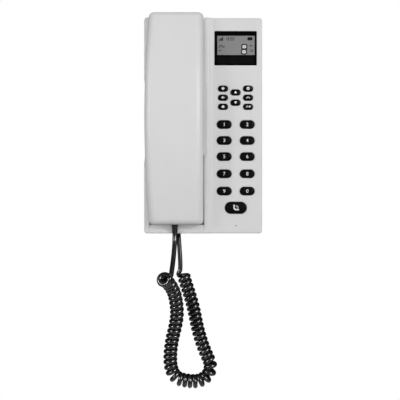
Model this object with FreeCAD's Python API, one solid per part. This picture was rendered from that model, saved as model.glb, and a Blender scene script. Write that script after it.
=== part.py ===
"""Slimline wall phone with a corded handset, as an assembly of separate pieces.

Millimetres. +Z is up, the front of the phone faces -Y, and the wall is the plane y = 0.
The origin is midway between the two wall screws, on the wall.
"""
import math
import os

import FreeCAD
import Part

V = FreeCAD.Vector

# ---------------------------------------------------------------- base case
BASE_W = 117.9
BASE_H = 215.6
BACK_Y = -1.8            # outside of the rear shell, clear of the bracket plate
PARTING_Y = -15.0        # joint between the rear and the front shell
PANEL_Y = -30.0          # face of the key panel
RIM_Y = -32.5            # top of the tray's rims
TRAY_Y = -20.0           # floor of the handset tray
WALL = 2.0
CASE_CORNER_R = 3.0
CASE_EDGE_R = 1.6
RIM_EDGE_R = 0.5
TRAY_LEFT_X = -53.9
TRAY_RIGHT_X = 0.9
TRAY_FOOT_WALL = 2.3
LIP_TOP_X = 3.4          # the lip beside the tray is level up to here ...
LIP_END_X = 10.0         # ... and has run down to the panel here
PANEL_CAVITY_X = 7.5
GRIP_TOP_Z = 50.0
GRIP_FOOT_Z = -40.0
GRIP_RUNOUT = 11.0
GRIP_EDGE_X = 5.3         # the scoop starts here on the lip ...
GRIP_WALL_X = -0.3        # ... and ramps down to here beside the handset
GRIP_RAMP_Y = -31.2
GAP_FLOOR_Y = -31.9       # floor of the shallow gap beside the handset, above the scoop
LEDGE_Y = -31.3           # the tray's shallow ledge below the handset ...
LEDGE_TOP_Z = -99.2       # ... which starts here
SEAM_BEVEL = 0.3          # bevels along the joint between the shells

# ------------------------------------------------------------------ handset
HS_LEFT_X = -53.45
HS_RIGHT_X = 0.2
HS_TOP_Z = 110.2
HS_FOOT_Z = -98.6
HS_BOW = 3.4             # the left side of the front shell swells by this much at mid length
HS_REAR_BOW = 1.0        # and that of the rear shell by this much
HS_END_FRONT_Y = -45.0
HS_MID_FRONT_Y = -60.0
HS_END_SPLIT_Y = -34.0   # joint between the handset's shells, at its ends
HS_MID_SPLIT_Y = -47.0
HS_REAR_Y = -20.6
HS_ARCH_Y = -33.0        # deepest part of the hand arch behind the handset
HS_ARCH_TOP_Z = 50.0
HS_ARCH_FOOT_Z = -34.0
HS_CORNER_R = 4.5
HS_EDGE_R = 8.0
HS_INNER_CORNER_R = 2.0
HS_REAR_STEP = 1.0       # the rear shell is this much narrower, each side
HS_FRONT_WALL = 3.0      # thicker than the other walls, behind the large rounding
HS_X = (HS_LEFT_X + HS_RIGHT_X) / 2
HS_Z = (HS_TOP_Z + HS_FOOT_Z) / 2
EAR_Z = 79.4
MOUTH_Z = -71.0
POD_R = 22.0
POD_Y = -12.3            # face of the ear and mouth pods
POCKET_R = 23.2
POCKET_Y = -11.0

# --------------------------------------------------------------------- keys
KEY_PROUD = 1.6
KEY_TRAVEL = 1.0
KEY_GAP = 0.3
KEY_LIP = 0.7
FUNCTION_KEY = (9.9, 5.9)
NUMBER_KEY = (14.7, 8.3)
CALL_KEY = (21.8, 11.8)
FUNCTION_X = (19.75, 32.25, 44.75)
NUMBER_X = (20.95, 43.95)
FUNCTION_KEYS = {
    "key_select": (FUNCTION_X[0], 36.9),
    "key_ring": (FUNCTION_X[2], 36.9),
    "key_up": (FUNCTION_X[1], 33.1),
    "key_back": (FUNCTION_X[0], 27.9),
    "key_redial": (FUNCTION_X[2], 27.9),
    "key_down": (FUNCTION_X[1], 22.9),
    "key_bell": (FUNCTION_X[0], 18.8),
    "key_mute": (FUNCTION_X[2], 18.8),
}
NUMBER_ROW_Z = (1.1, -14.9, -31.0, -48.2, -65.5)
NUMBER_LABELS = ("12", "34", "56", "78", "90")
CALL_KEY_AT = (32.55, -82.2)

# ------------------------------------------------------------ display, boards
LCD_X = (11.2, 53.5)
LCD_Z = (60.25, 94.5)
LCD_THICK = 1.5
BOARD_Y = (-22.3, -20.7)

# ----------------------------------------------------- bracket, hook and cord
SCREW_SPACING = 60.0
SLOT_R = 2.25
SLOT_LENGTH = 9.0
PLATE_THICK = 1.5
TAB_X = 22.0
TAB_Z = (30.0, -24.0)
TAB_W = 8.0
LIFT_OFF = 8.0
HOOK_X = HS_X
HOOK_Z = -40.0
HOOK_TRAVEL = 3.5
CORD_D = 4.7
COIL_D = 14.1
MIC_AT = (32.75, -100.1)
SOCKET_X = 2.0
BAY_X = (12.0, 46.0)     # battery bay
BAY_Z = (WALL - BASE_H / 2, -62.0)
SPEAKER_AT = (31.0, 72.0)
CABLE_HOLE_R = 2.7       # where the cord enters the handset

BOSS_R = 3.5             # screw bosses
SEAT_R = 5.0             # bosses that a screw's head sits in
PILOT_R = 1.25
CLEAR_R = 1.7
SCREW_HEAD_R = 3.0
SCREW_R = 1.5
HEAD_RECESS_R = 3.3
GLAND_R = 3.3
GLAND_FLANGE_R = 4.2
FOOT_R = 4.0
FOOT_RECESS = 0.6
CASE_SCREWS = [(x, z) for x in (-52.0, 52.5) for z in (-99.5, 99.5)]
FEET = [(x, z) for x in (-52.0, 52.0) for z in (-86.0, 86.0)]
HS_SCREWS_Z = (30.0, -16.0)

# Routes of the hanging cord, from the handset to the base.
HANDSET_LEAD = [
    (-28.2, -36.0, -107.9),
    (-28.2, -36.0, -114.0),
    (-28.5, -41.3, -122.5),
    (-29.1, -46.5, -131.0),
    (-30.0, -52.5, -140.0),
    (-31.0, -57.6, -147.6),
]
COIL = [
    (-37.6, -60.0, -149.6),
    (-36.4, -52.0, -151.6),
    (-32.8, -45.0, -156.8),
    (-28.6, -40.0, -165.0),
    (-26.6, -36.5, -176.0),
    (-25.8, -34.6, -187.5),
    (-27.6, -33.2, -199.5),
    (-31.0, -32.3, -212.5),
    (-33.0, -31.4, -227.0),
    (-32.8, -30.2, -241.5),
    (-27.8, -28.4, -252.8),
    (-15.0, -26.0, -256.8),
    (-2.8, -23.0, -257.6),
    (6.2, -20.6, -251.0),
    (7.9, -18.6, -241.5),
    (3.2, -17.0, -232.0),
    (-2.0, -15.8, -219.0),
    (-6.3, -14.8, -203.5),
    (-9.2, -14.0, -188.0),
    (-13.6, -13.2, -172.0),
    (-19.0, -12.8, -160.0),
    (-23.8, -12.5, -150.0),
]
BASE_LEAD = [
    (-24.2, -12.4, -154.0),
    (-23.3, -12.0, -144.0),
    (-23.8, -11.4, -133.0),
    (-24.6, -10.6, -121.0),
    (-25.5, -10.0, -109.2),
]


# ------------------------------------------------------------------- helpers
def box(x0, x1, y0, y1, z0, z1):
    """A box between two corners."""
    return Part.makeBox(x1 - x0, y1 - y0, z1 - z0, V(x0, y0, z0))


def rod(x, z, radius, y0, y1):
    """A round rod along Y."""
    return Part.makeCylinder(radius, y1 - y0, V(x, y0, z), V(0, 1, 0))


def prism_y(wire, y0, y1):
    """A wire drawn at y = 0 in the XZ plane, extruded from y0 to y1."""
    face = Part.Face(wire)
    face.translate(V(0, y0, 0))
    return face.extrude(V(0, y1 - y0, 0))


def polygon(points):
    """A closed wire through the points."""
    return Part.makePolygon(points + points[:1])


def edges_along(shape, axis):
    """The straight edges that run along one axis."""
    found = []
    for edge in shape.Edges:
        lengths = [edge.BoundBox.XLength, edge.BoundBox.YLength, edge.BoundBox.ZLength]
        if lengths[axis] > 1e-4 and sum(lengths) - lengths[axis] < 1e-4:
            found.append(edge)
    return found


def edges_at_y(shape, y):
    """The edges that lie in the plane y."""
    flat = [e for e in shape.Edges if e.BoundBox.YLength < 1e-4]
    return [e for e in flat if abs(e.BoundBox.YMin - y) < 1e-4]


def plate(x0, x1, z0, z1, radius, y0, y1):
    """A plate facing -Y with four rounded corners."""
    block = box(x0, x1, y0, y1, z0, z1)
    return block.makeFillet(radius, edges_along(block, 1))


def stadium(x, z, width, height, y0, y1):
    """A plate with half-round ends, longer in X."""
    reach = (width - height) / 2
    radius = height / 2
    corners = [V(x - reach, 0, z - radius), V(x + reach, 0, z - radius),
               V(x + reach, 0, z + radius), V(x - reach, 0, z + radius)]
    right = V(x + reach + radius, 0, z)
    left = V(x - reach - radius, 0, z)
    wire = Part.Wire([
        Part.LineSegment(corners[0], corners[1]).toShape(),
        Part.Arc(corners[1], right, corners[2]).toShape(),
        Part.LineSegment(corners[2], corners[3]).toShape(),
        Part.Arc(corners[3], left, corners[0]).toShape(),
    ])
    return prism_y(wire, y0, y1)


def fused(shapes):
    """One solid out of touching shapes."""
    return shapes[0].multiFuse(shapes[1:]).removeSplitter()


def filleted(block, groups):
    """Round several groups of edges in one step, each group with its own radius."""
    document = FreeCAD.newDocument()
    base = document.addObject("Part::Feature", "block")
    base.Shape = block
    fillet = document.addObject("Part::Fillet", "rounded")
    fillet.Base = base
    chosen = []
    for index, edge in enumerate(base.Shape.Edges, 1):
        for radius, edges in groups:
            if any(edge.isSame(other) for other in edges):
                chosen.append((index, radius, radius))
    fillet.Edges = chosen
    document.recompute()
    return fillet.Shape.copy()


def rounded_path(route):
    """Straight runs joined by the largest tangent arcs; returns the wire and the arc radii."""
    points = [V(*p) for p in route]
    edges = []
    radii = []
    start = points[0]
    for before, corner, after in zip(points, points[1:], points[2:]):
        into = (before - corner).normalize()
        out = (after - corner).normalize()
        turn = math.pi - into.getAngle(out)
        setback = 0.45 * min((before - corner).Length, (after - corner).Length)
        radius = setback / math.tan(turn / 2)
        bisector = (into + out).normalize()
        middle = corner + bisector * (radius / math.cos(turn / 2) - radius)
        arc_start = corner + into * setback
        arc_end = corner + out * setback
        edges.append(Part.LineSegment(start, arc_start).toShape())
        edges.append(Part.Arc(arc_start, middle, arc_end).toShape())
        radii.append(round(radius, 1))
        start = arc_end
    edges.append(Part.LineSegment(start, points[-1]).toShape())
    return Part.Wire(edges), radii


def tube(route, diameter, name):
    """A round solid along a route, reported with its bends and its volume."""
    path, radii = rounded_path(route)
    direction = V(*route[1]) - V(*route[0])
    section = Part.Wire([Part.Circle(V(*route[0]), direction, diameter / 2).toShape()])
    solid = path.makePipeShell([section], True, False)
    expected = math.pi * diameter ** 2 / 4 * path.Length
    print(name, "length", round(path.Length, 1), "bend radii", radii,
          "volume over section x length", round(solid.Volume / expected, 4))
    return solid


# ----------------------------------------------------------------- base case
def case_block(y0, y1):
    """The base's outline between two depths, bevelled along the joint of the shells."""
    half_w = BASE_W / 2
    half_h = BASE_H / 2
    block = plate(-half_w, half_w, -half_h, half_h, CASE_CORNER_R, y0, y1)
    return block.makeChamfer(SEAM_BEVEL, edges_at_y(block, PARTING_Y))


def lip_step():
    """Cutter that leaves the panel lower than the lip, joined by an S curve."""
    middle_x = (LIP_TOP_X + LIP_END_X) / 2
    middle_y = (RIM_Y + PANEL_Y) / 2
    run = middle_x - LIP_TOP_X
    drop = middle_y - RIM_Y
    radius = (run ** 2 + drop ** 2) / (2 * drop)
    half_turn = math.atan2(drop, run)
    sag_x = radius * math.sin(half_turn)
    sag_y = radius * (1 - math.cos(half_turn))
    foot = -BASE_H / 2 - 1
    right = BASE_W / 2 + 1

    def at(x, y):
        return V(x, y, foot)

    outline = Part.Wire([
        Part.Arc(at(LIP_TOP_X, RIM_Y), at(LIP_TOP_X + sag_x, RIM_Y + sag_y),
                 at(middle_x, middle_y)).toShape(),
        Part.Arc(at(middle_x, middle_y), at(LIP_END_X - sag_x, PANEL_Y - sag_y),
                 at(LIP_END_X, PANEL_Y)).toShape(),
        Part.makePolygon([at(LIP_END_X, PANEL_Y), at(right, PANEL_Y), at(right, RIM_Y - 1),
                          at(LIP_TOP_X, RIM_Y - 1), at(LIP_TOP_X, RIM_Y)]),
    ])
    return Part.Face(outline).extrude(V(0, 0, BASE_H + 2))


def gap_fillers():
    """Narrow the gap beside the handset along the finger scoop, and above it."""
    right = TRAY_RIGHT_X + 0.5
    floor = TRAY_Y + 0.5
    turn = GRIP_TOP_Z - GRIP_RUNOUT
    scoop = box(GRIP_WALL_X, right, GRIP_RAMP_Y - 1, floor, GRIP_FOOT_Z + GRIP_RUNOUT, turn)
    above = box(GRIP_WALL_X, right, GAP_FLOOR_Y, floor, turn, BASE_H / 2 - CASE_EDGE_R)
    return [scoop, above]


def pyramid(base, apex):
    """A solid between a triangle and a point."""
    a, b, c = base
    sides = [(a, b, c), (a, b, apex), (b, c, apex), (c, a, apex)]
    solid = Part.Solid(Part.Shell([Part.Face(polygon(list(side))) for side in sides]))
    if solid.Volume < 0:
        solid.reverse()
    return solid


def grip_scoops():
    """Cutters for the finger scoops in the lip and in the left rim."""
    top, foot = GRIP_TOP_Z, GRIP_FOOT_Z
    run = GRIP_RUNOUT
    above = RIM_Y - 0.4

    def section(z):
        return [V(GRIP_EDGE_X, above, z), V(GRIP_WALL_X, GRIP_RAMP_Y, z), V(GRIP_WALL_X, above, z)]

    ramp = Part.Face(polygon(section(foot + run))).extrude(V(0, 0, top - foot - 2 * run))
    ends = [pyramid(section(top - run), V(TRAY_RIGHT_X, above, top)),
            pyramid(section(foot + run), V(TRAY_RIGHT_X, above, foot))]
    outside = -BASE_W / 2 - 1
    side = [V(outside, RIM_Y - 1, top), V(outside, TRAY_Y - 1.5, top - run),
            V(outside, TRAY_Y - 1.5, foot + run), V(outside, RIM_Y - 1, foot)]
    rim = Part.Face(polygon(side)).extrude(V(TRAY_LEFT_X - outside + 0.5, 0, 0))
    return [fused([ramp] + ends), rim]


def key_places():
    """Name, centre and size of every key."""
    places = [(name, at, FUNCTION_KEY) for name, at in FUNCTION_KEYS.items()]
    for z, labels in zip(NUMBER_ROW_Z, NUMBER_LABELS):
        for x, label in zip(NUMBER_X, labels):
            places.append(("key_" + label, (x, z), NUMBER_KEY))
    places.append(("key_call", CALL_KEY_AT, CALL_KEY))
    return places


def is_lip_crease(edge):
    """Whether an edge runs lengthwise on the lip's S curve."""
    box_ = edge.BoundBox
    return LIP_TOP_X - 0.1 < box_.XMin and box_.XMax < LIP_END_X + 0.1 and box_.ZLength > 1


def on_tray_edge(edge, tray_foot):
    """Whether an edge of the rims' tops borders the tray."""
    box_ = edge.BoundBox
    centre = box_.Center
    beside = box_.XLength < 0.01 and min(abs(centre.x - TRAY_LEFT_X),
                                         abs(centre.x - TRAY_RIGHT_X)) < 0.01
    return beside or (box_.ZLength < 0.01 and abs(centre.z - tray_foot) < 0.01)


def base_front_shell():
    """Panel, tray, rims, pockets, bosses and every opening of the front shell."""
    shell = case_block(RIM_Y, PARTING_Y).cut(lip_step())
    front_edges = [e for e in shell.Edges if e.BoundBox.YMax < PANEL_Y + 0.01
                   and not is_lip_crease(e)]
    shell = shell.makeFillet(CASE_EDGE_R, front_edges)
    tray_foot = -BASE_H / 2 + TRAY_FOOT_WALL
    half_h = BASE_H / 2 + 1
    shell = shell.cut(box(TRAY_LEFT_X, TRAY_RIGHT_X, RIM_Y - 1, TRAY_Y, tray_foot, half_h))
    tray_edges = [e for e in edges_at_y(shell, RIM_Y) if on_tray_edge(e, tray_foot)]
    shell = shell.makeFillet(RIM_EDGE_R, tray_edges)
    ledge = box(TRAY_LEFT_X - 0.5, TRAY_RIGHT_X + 0.5, LEDGE_Y, TRAY_Y + 0.5,
                tray_foot - 0.5, LEDGE_TOP_Z)
    shell = fused([shell, ledge] + gap_fillers())
    for scoop in grip_scoops():
        shell = shell.cut(scoop)
    inner_h = BASE_H / 2 - WALL
    inner_w = BASE_W / 2 - WALL
    shell = shell.cut(box(-inner_w, inner_w, TRAY_Y + WALL, PARTING_Y + 1, -inner_h, inner_h))
    shell = shell.cut(box(PANEL_CAVITY_X, inner_w, PANEL_Y + WALL, PARTING_Y + 1,
                          -inner_h, inner_h))
    cups = [rod(HS_X, z, POCKET_R + WALL, TRAY_Y + 0.5, POCKET_Y + WALL) for z in (EAR_Z, MOUTH_Z)]
    bosses = [rod(x, z, BOSS_R, (TRAY_Y if x < 0 else PANEL_Y) + 1, -7.8) for x, z in CASE_SCREWS]
    window_frame = box(LCD_X[0] - 1.5, LCD_X[1] + 1.5, PANEL_Y + 1, PANEL_Y + 3.3,
                       LCD_Z[0] - 1.5, LCD_Z[1] + 1.5)
    shell = fused([shell, window_frame] + cups + bosses)
    for z in (EAR_Z, MOUTH_Z):
        shell = shell.cut(rod(HS_X, z, POCKET_R, TRAY_Y - 1, POCKET_Y))
    for x, z in CASE_SCREWS:
        shell = shell.cut(rod(x, z, PILOT_R, -17.5, -7))
    for _, (x, z), (width, height) in key_places():
        hole = stadium(x, z, width + 2 * KEY_GAP, height + 2 * KEY_GAP, PANEL_Y - 1, PANEL_Y + 3)
        shell = shell.cut(hole)
    seat = plate(LCD_X[0] - 0.1, LCD_X[1] + 0.1, LCD_Z[0] - 0.1, LCD_Z[1] + 0.1, 1.1,
                 PANEL_Y - 1, PANEL_Y + LCD_THICK)
    sight = box(LCD_X[0] + 2, LCD_X[1] - 2, PANEL_Y, PANEL_Y + 5, LCD_Z[0] + 2, LCD_Z[1] - 2)
    shell = shell.cut(seat).cut(sight)
    shell = shell.cut(rod(MIC_AT[0], MIC_AT[1], 0.65, PANEL_Y - 1, PANEL_Y + 3))
    return shell.cut(stadium(HOOK_X, HOOK_Z, 11.0, 6.6, TRAY_Y - 1, TRAY_Y + 3))


def base_rear_shell():
    """Back wall and sides, with bracket slots, battery bay, sound slots and cord hole."""
    shell = case_block(PARTING_Y, BACK_Y)
    shell = shell.makeFillet(CASE_EDGE_R, edges_at_y(shell, BACK_Y))
    inner_h = BASE_H / 2 - WALL
    inner_w = BASE_W / 2 - WALL
    shell = shell.cut(box(-inner_w, inner_w, PARTING_Y - 1, BACK_Y - WALL, -inner_h, inner_h))
    bay = box(BAY_X[0] - 1.5, BAY_X[1] + 1.5, -14.0, -3.0, -inner_h - 0.5, BAY_Z[1] + 1.5)
    bay = bay.cut(box(BAY_X[0], BAY_X[1], -16.0, -2.0, BAY_Z[0], BAY_Z[1]))
    bosses = [rod(x, z, SEAT_R, -7.6, BACK_Y - 1) for x, z in CASE_SCREWS]
    posts = [rod(HOOK_X, HOOK_Z, 3.6, -5.6, BACK_Y - 1)]
    shell = fused([shell, bay] + bosses + posts)
    shell = shell.cut(box(BAY_X[0], BAY_X[1], BACK_Y - 2.0, 0, -BASE_H / 2 - 1, BAY_Z[1]))
    for x, z in CASE_SCREWS:
        shell = shell.cut(rod(x, z, CLEAR_R, -9, 0)).cut(rod(x, z, HEAD_RECESS_R, -5.8, 0))
    for x in (-TAB_X, TAB_X):
        for z in TAB_Z:
            slot = box(x - TAB_W / 2 - 0.4, x + TAB_W / 2 + 0.4, BACK_Y - WALL - 1, 0,
                       z - LIFT_OFF - 0.5, z + 3.2)
            shell = shell.cut(slot)
    for index in range(-3, 4):
        x = SPEAKER_AT[0] + 4.0 * index
        shell = shell.cut(box(x - 0.8, x + 0.8, BACK_Y - WALL - 1, 0,
                              SPEAKER_AT[1] - 10, SPEAKER_AT[1] + 10))
    for x, z in FEET:
        shell = shell.cut(rod(x, z, FOOT_R + 0.1, BACK_Y - FOOT_RECESS, 0))
    gland = BASE_LEAD[-1]
    hole = Part.makeCylinder(GLAND_R, 6, V(gland[0], gland[1], -BASE_H / 2 - 2), V(0, 0, 1))
    socket = box(SOCKET_X - 4.7, SOCKET_X + 4.7, -11.4, -7.4, -BASE_H / 2 - 1, -BASE_H / 2 + 4)
    return shell.cut(hole).cut(socket)


def wall_bracket():
    """Pressed plate with two screw slots and four upturned hook tabs."""
    bracket = plate(-32, 32, -54, 54, 4, -PLATE_THICK, 0)
    for z in (-SCREW_SPACING / 2, SCREW_SPACING / 2):
        slot = stadium(z, 0, SLOT_LENGTH, 2 * SLOT_R, -3, 1)
        slot.rotate(V(0, 0, 0), V(0, 1, 0), -90)
        bracket = bracket.cut(slot)
    tabs = []
    for x in (-TAB_X, TAB_X):
        for z in TAB_Z:
            tabs.append(box(x - TAB_W / 2, x + TAB_W / 2, -5.6, -PLATE_THICK + 0.5, z, z + 3.0))
            tabs.append(box(x - TAB_W / 2, x + TAB_W / 2, -5.6, -4.2, z, z + 10.0))
    return fused([bracket] + tabs)


# ----------------------------------------------------------- display and keys
def key_cap(at, size):
    """A key with a softly rounded face and a retaining lip behind the panel."""
    x, z = at
    width, height = size
    cap = stadium(x, z, width, height, PANEL_Y - KEY_PROUD, PANEL_Y + 2.5)
    cap = cap.makeFillet(0.9, edges_at_y(cap, PANEL_Y - KEY_PROUD))
    lip = stadium(x, z, width + 2 * KEY_LIP, height + 2 * KEY_LIP, PANEL_Y + 2.2, PANEL_Y + 3.0)
    return fused([cap, lip])


def key_mat():
    """One silicone sheet with a dome behind every key."""
    sheet = plate(12.5, 54.5, -90.0, 43.0, 2, -25.2, -24.0)
    domes = []
    for _, (x, z), (width, height) in key_places():
        domes.append(stadium(x, z, width - 2, height - 2, -25.8, -25.0))
        domes.append(rod(x, z, 1.6, -24.2, -22.9))
    return fused([sheet] + domes)


def main_board():
    """Circuit board behind the key mat and the display."""
    board = box(10.0, 49.0, BOARD_Y[0], BOARD_Y[1], -104.0, 98.0)
    parts = [box(16, 30, BOARD_Y[1] - 0.2, BOARD_Y[1] + 1.6, 10, 24),
             box(34, 44, BOARD_Y[1] - 0.2, BOARD_Y[1] + 1.4, -20, -10),
             box(18, 23, BOARD_Y[1] - 0.2, BOARD_Y[1] + 2.8, -40, -28)]
    return fused([board] + parts)


def lcd_module():
    """Display glass in its frame, on the main board."""
    back = plate(LCD_X[0] + 0.4, LCD_X[1] - 0.4, LCD_Z[0] + 0.4, LCD_Z[1] - 0.4, 1, -26.5, -22.5)
    glass = box(LCD_X[0] + 2.4, LCD_X[1] - 2.4, -27.6, -26.4, LCD_Z[0] + 2.4, LCD_Z[1] - 2.4)
    return fused([back, glass])


# ------------------------------------------------------------------- handset
def arch_profile(front_end, front_mid, rear_end, rear_mid, inset):
    """The handset's side view, extruded across it."""
    top = HS_TOP_Z - inset
    foot = HS_FOOT_Z + inset
    arch_z = (HS_ARCH_TOP_Z + HS_ARCH_FOOT_Z) / 2
    x = HS_LEFT_X - 10
    front = Part.Arc(V(x, front_end, top), V(x, front_mid, HS_Z), V(x, front_end, foot))
    arch = Part.Arc(V(x, rear_end, HS_ARCH_FOOT_Z), V(x, rear_mid, arch_z),
                    V(x, rear_end, HS_ARCH_TOP_Z))
    wire = Part.Wire([
        front.toShape(),
        Part.LineSegment(V(x, front_end, foot), V(x, rear_end, foot)).toShape(),
        Part.LineSegment(V(x, rear_end, foot), V(x, rear_end, HS_ARCH_FOOT_Z)).toShape(),
        arch.toShape(),
        Part.LineSegment(V(x, rear_end, HS_ARCH_TOP_Z), V(x, rear_end, top)).toShape(),
        Part.LineSegment(V(x, rear_end, top), V(x, front_end, top)).toShape(),
    ])
    return Part.Face(wire).extrude(V(HS_RIGHT_X - HS_LEFT_X + 20, 0, 0))


def handset_plan(inset, bow):
    """The handset's front view with sharp corners, extruded through its depth."""
    left = HS_LEFT_X + inset
    right = HS_RIGHT_X - inset
    top = HS_TOP_Z - inset
    foot = HS_FOOT_Z + inset
    wire = Part.Wire([
        Part.Arc(V(left, 0, foot), V(left - bow, 0, HS_Z), V(left, 0, top)).toShape(),
        Part.LineSegment(V(left, 0, top), V(right, 0, top)).toShape(),
        Part.LineSegment(V(right, 0, top), V(right, 0, foot)).toShape(),
        Part.LineSegment(V(right, 0, foot), V(left, 0, foot)).toShape(),
    ])
    return prism_y(wire, HS_MID_FRONT_Y - 5, 0)


def rounded_plan(inset, bow, radius):
    """The handset's front view with round corners, extruded through its depth."""
    block = handset_plan(inset, bow)
    return block.makeFillet(radius, edges_along(block, 1))


def split_block(in_front):
    """Everything in front of, or behind, the joint between the handset's shells."""
    x = HS_LEFT_X - 12
    far_y = -90.0 if in_front else 0.0
    arc = Part.Arc(V(x, HS_END_SPLIT_Y, HS_TOP_Z + 1), V(x, HS_MID_SPLIT_Y, HS_Z),
                   V(x, HS_END_SPLIT_Y, HS_FOOT_Z - 1))
    wire = Part.Wire([
        arc.toShape(),
        Part.LineSegment(V(x, HS_END_SPLIT_Y, HS_FOOT_Z - 1), V(x, far_y, HS_FOOT_Z - 1)).toShape(),
        Part.LineSegment(V(x, far_y, HS_FOOT_Z - 1), V(x, far_y, HS_TOP_Z + 1)).toShape(),
        Part.LineSegment(V(x, far_y, HS_TOP_Z + 1), V(x, HS_END_SPLIT_Y, HS_TOP_Z + 1)).toShape(),
    ])
    return Part.Face(wire).extrude(V(HS_RIGHT_X - HS_LEFT_X + 24, 0, 0))


def handset_cavity():
    """The hollow inside both handset shells."""
    profile = arch_profile(HS_END_FRONT_Y + HS_FRONT_WALL, HS_MID_FRONT_Y + HS_FRONT_WALL,
                           HS_REAR_Y - WALL, HS_ARCH_Y - WALL, WALL)
    return profile.common(rounded_plan(HS_REAR_STEP + WALL, HS_REAR_BOW, HS_INNER_CORNER_R))


def handset_front_shell():
    """Arched cover of the handset, open behind, with two screw bosses."""
    profile = arch_profile(HS_END_FRONT_Y, HS_MID_FRONT_Y, HS_REAR_Y, HS_ARCH_Y, 0)
    block = profile.common(handset_plan(0, HS_BOW))
    rim = [e for e in block.Edges if e.BoundBox.YMax < HS_END_FRONT_Y + 0.01]
    cover = filleted(block, [(HS_EDGE_R, rim), (HS_CORNER_R, edges_along(block, 1))])
    shell = cover.common(split_block(True)).cut(handset_cavity())
    bosses = [rod(HS_X, z, BOSS_R, HS_MID_FRONT_Y + 1.2, -40.2) for z in HS_SCREWS_Z]
    shell = fused([shell] + bosses)
    for z in HS_SCREWS_Z:
        shell = shell.cut(rod(HS_X, z, PILOT_R, -52.0, -40.0))
    relief = HANDSET_LEAD[0]
    exit_hole = Part.makeCylinder(CABLE_HOLE_R, 12, V(relief[0], relief[1], HS_FOOT_Z - 4), V(0, 0, 1))
    return shell.cut(exit_hole)


def handset_rear_shell():
    """Hand side of the handset with the ear and mouth pods and their sound holes."""
    profile = arch_profile(HS_END_FRONT_Y, HS_MID_FRONT_Y, HS_REAR_Y, HS_ARCH_Y, 0)
    outline = rounded_plan(HS_REAR_STEP, HS_REAR_BOW, HS_CORNER_R - HS_REAR_STEP)
    shell = profile.common(outline).common(split_block(False))
    shell = shell.cut(handset_cavity())
    pods = []
    for z in (EAR_Z, MOUTH_Z):
        pod = rod(HS_X, z, POD_R, HS_REAR_Y - 1, POD_Y)
        pods.append(pod.makeFillet(2.0, edges_at_y(pod, POD_Y)))
    bosses = [rod(HS_X, z, SEAT_R, -40.0, -30.6) for z in HS_SCREWS_Z]
    shell = fused([shell] + pods + bosses)
    for z in (EAR_Z, MOUTH_Z):
        shell = shell.cut(rod(HS_X, z, POD_R - WALL, HS_REAR_Y - WALL - 1, POD_Y - WALL))
    for z in HS_SCREWS_Z:
        shell = shell.cut(rod(HS_X, z, CLEAR_R, -41, -20))
        shell = shell.cut(rod(HS_X, z, HEAD_RECESS_R, -34, -20))
    for ring_r, count in ((0, 1), (5, 6), (10, 12)):
        for index in range(count):
            angle = 2 * math.pi * index / count
            x = HS_X + ring_r * math.cos(angle)
            z = EAR_Z + ring_r * math.sin(angle)
            shell = shell.cut(rod(x, z, 0.9, POD_Y - 4, POD_Y + 1))
    for index in range(-2, 3):
        x = HS_X + 3.2 * index
        shell = shell.cut(box(x - 0.6, x + 0.6, POD_Y - 4, POD_Y + 1, MOUTH_Z - 4, MOUTH_Z + 4))
    relief = HANDSET_LEAD[0]
    exit_hole = Part.makeCylinder(CABLE_HOLE_R, 12, V(relief[0], relief[1], HS_FOOT_Z - 4), V(0, 0, 1))
    return shell.cut(exit_hole)


def strain_relief():
    """Tapered sleeve on the cord at the handset, with a collar inside the shells."""
    x, y, z = HANDSET_LEAD[0]
    sleeve = Part.makeCone(2.6, 2.9, HS_FOOT_Z - z - 0.35, V(x, y, z + 0.3), V(0, 0, 1))
    neck = Part.makeCylinder(2.6, 4.0, V(x, y, HS_FOOT_Z - 0.06), V(0, 0, 1))
    collar = Part.makeCylinder(3.6, 2.0, V(x, y, HS_FOOT_Z + WALL + HS_REAR_STEP + 0.3), V(0, 0, 1))
    return fused([sleeve, neck, collar])


# --------------------------------------------------------- hook, cord, sundries
def hook_plunger():
    """Spring-loaded plunger that the handset holds down."""
    top = TRAY_Y - 0.3
    cap = stadium(HOOK_X, HOOK_Z, 10.4, 6.0, top, -14.2)
    cap = cap.makeFillet(0.2, edges_at_y(cap, top))
    lip = stadium(HOOK_X, HOOK_Z, 13.0, 8.6, -14.4, -13.2)
    return fused([cap, lip, rod(HOOK_X, HOOK_Z, 1.4, -13.4, -8.0)])


def hook_spring():
    """Compression spring between the plunger's lip and the rear shell."""
    wire_r = 0.35
    helix = Part.makeHelix(1.3, 6.0, 2.3)
    section = Part.Wire([Part.Circle(V(2.3, 0, 0), V(0, 1, 0), wire_r).toShape()])
    spring = Part.Wire(helix).makePipeShell([section], True, True)
    spring.rotate(V(0, 0, 0), V(1, 0, 0), -90)
    spring.translate(V(HOOK_X, -12.4, HOOK_Z))
    return spring


def hook_switch():
    """Micro switch beside the plunger."""
    body = box(HOOK_X + 8.0, HOOK_X + 20.0, -12.6, -6.0, HOOK_Z - 3, HOOK_Z + 3)
    pin = box(HOOK_X + 10.0, HOOK_X + 11.6, -13.4, -12.4, HOOK_Z - 1, HOOK_Z + 1)
    legs = [box(HOOK_X + x, HOOK_X + x + 0.8, -6.2, BACK_Y - WALL, HOOK_Z - 0.4, HOOK_Z + 0.4)
            for x in (9.5, 13.6, 17.7)]
    return fused([body, pin] + legs)


def cord_gland():
    """Rubber grommet in the base's lower wall."""
    x, y, z = BASE_LEAD[-1]
    outer = Part.makeCylinder(GLAND_FLANGE_R, 1.2, V(x, y, -BASE_H / 2 - 1.2), V(0, 0, 1))
    neck = Part.makeCylinder(GLAND_R, WALL + 0.6, V(x, y, -BASE_H / 2 - 0.3), V(0, 0, 1))
    inner = Part.makeCylinder(GLAND_FLANGE_R, 2.0, V(x, y, -BASE_H / 2 + WALL), V(0, 0, 1))
    return fused([outer, neck, inner])


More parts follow.
